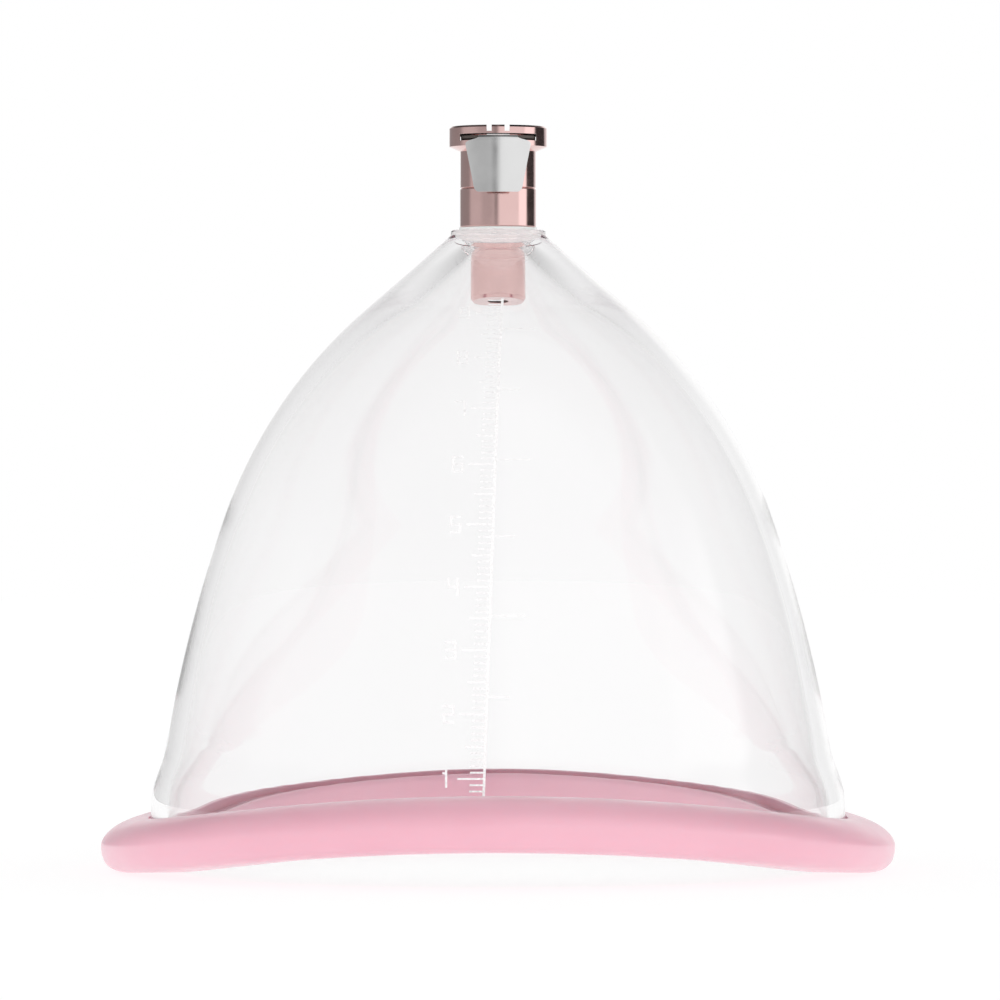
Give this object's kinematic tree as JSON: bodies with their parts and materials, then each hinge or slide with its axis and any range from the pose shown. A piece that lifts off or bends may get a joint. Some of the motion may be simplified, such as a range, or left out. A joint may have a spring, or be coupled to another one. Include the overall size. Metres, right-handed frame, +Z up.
{
  "type": "vacuum cupping cup",
  "caption": "Clear bell-shaped vacuum cup with a saddle-shaped silicone rim and a metal quick coupling with a sprung thumb latch and a check valve.",
  "frame": {"origin": "on the bell's axis, level with the lowest points of the rim", "axes": "+Z up along the bell's axis, the thumb latch faces -Y, the rim's low ends are at +X and -X"},
  "size_m": [0.1268, 0.1268, 0.1189],
  "materials": {
    "clear_plastic": "clear polished hard plastic",
    "pink_silicone": "satin silicone",
    "clear_silicone": "pale translucent silicone",
    "rose_gold": "rose-gold plated brass, polished",
    "stainless": "satin stainless sheet",
    "spring_steel": "drawn stainless wire",
    "black_rubber": "matt nitrile rubber",
    "white_plastic": "white acetal"
  },
  "bodies": {
    "cup": {"cup_dome": "clear_plastic", "rim_seal": "pink_silicone", "neck_washer": "clear_silicone", "coupling_base": "rose_gold", "coupling_body": "rose_gold", "joint_oring": "black_rubber", "socket_oring": "black_rubber", "poppet_spring": "spring_steel", "latch_spring": "spring_steel", "latch_stop_pin": "spring_steel", "release_spring": "spring_steel"},
    "latch": {"thumb_latch": "stainless"},
    "poppet": {"valve_poppet": "white_plastic", "poppet_oring": "black_rubber"},
    "catch_pin": {"release_pin": "spring_steel"}
  },
  "joints": [
    {"name": "latch_press", "type": "slide", "parent": "cup", "child": "latch", "axis": [0, 1, 0], "range_m": [0, 0.00114], "stiffness_N_per_m": 1200, "deforming": ["latch_spring"]},
    {"name": "poppet_press", "type": "slide", "parent": "cup", "child": "poppet", "axis": [0, 0, -1], "range_m": [0, 0.00156], "stiffness_N_per_m": 400, "deforming": ["poppet_spring"]},
    {"name": "release_rise", "type": "slide", "parent": "cup", "child": "catch_pin", "axis": [0, 0, 1], "range_m": [0, 0.00078], "deforming": ["release_spring"]}
  ],
  "couplings": [
    {"joint": "release_rise", "follows": "latch_press", "ratio": 0.6842}
  ]
}
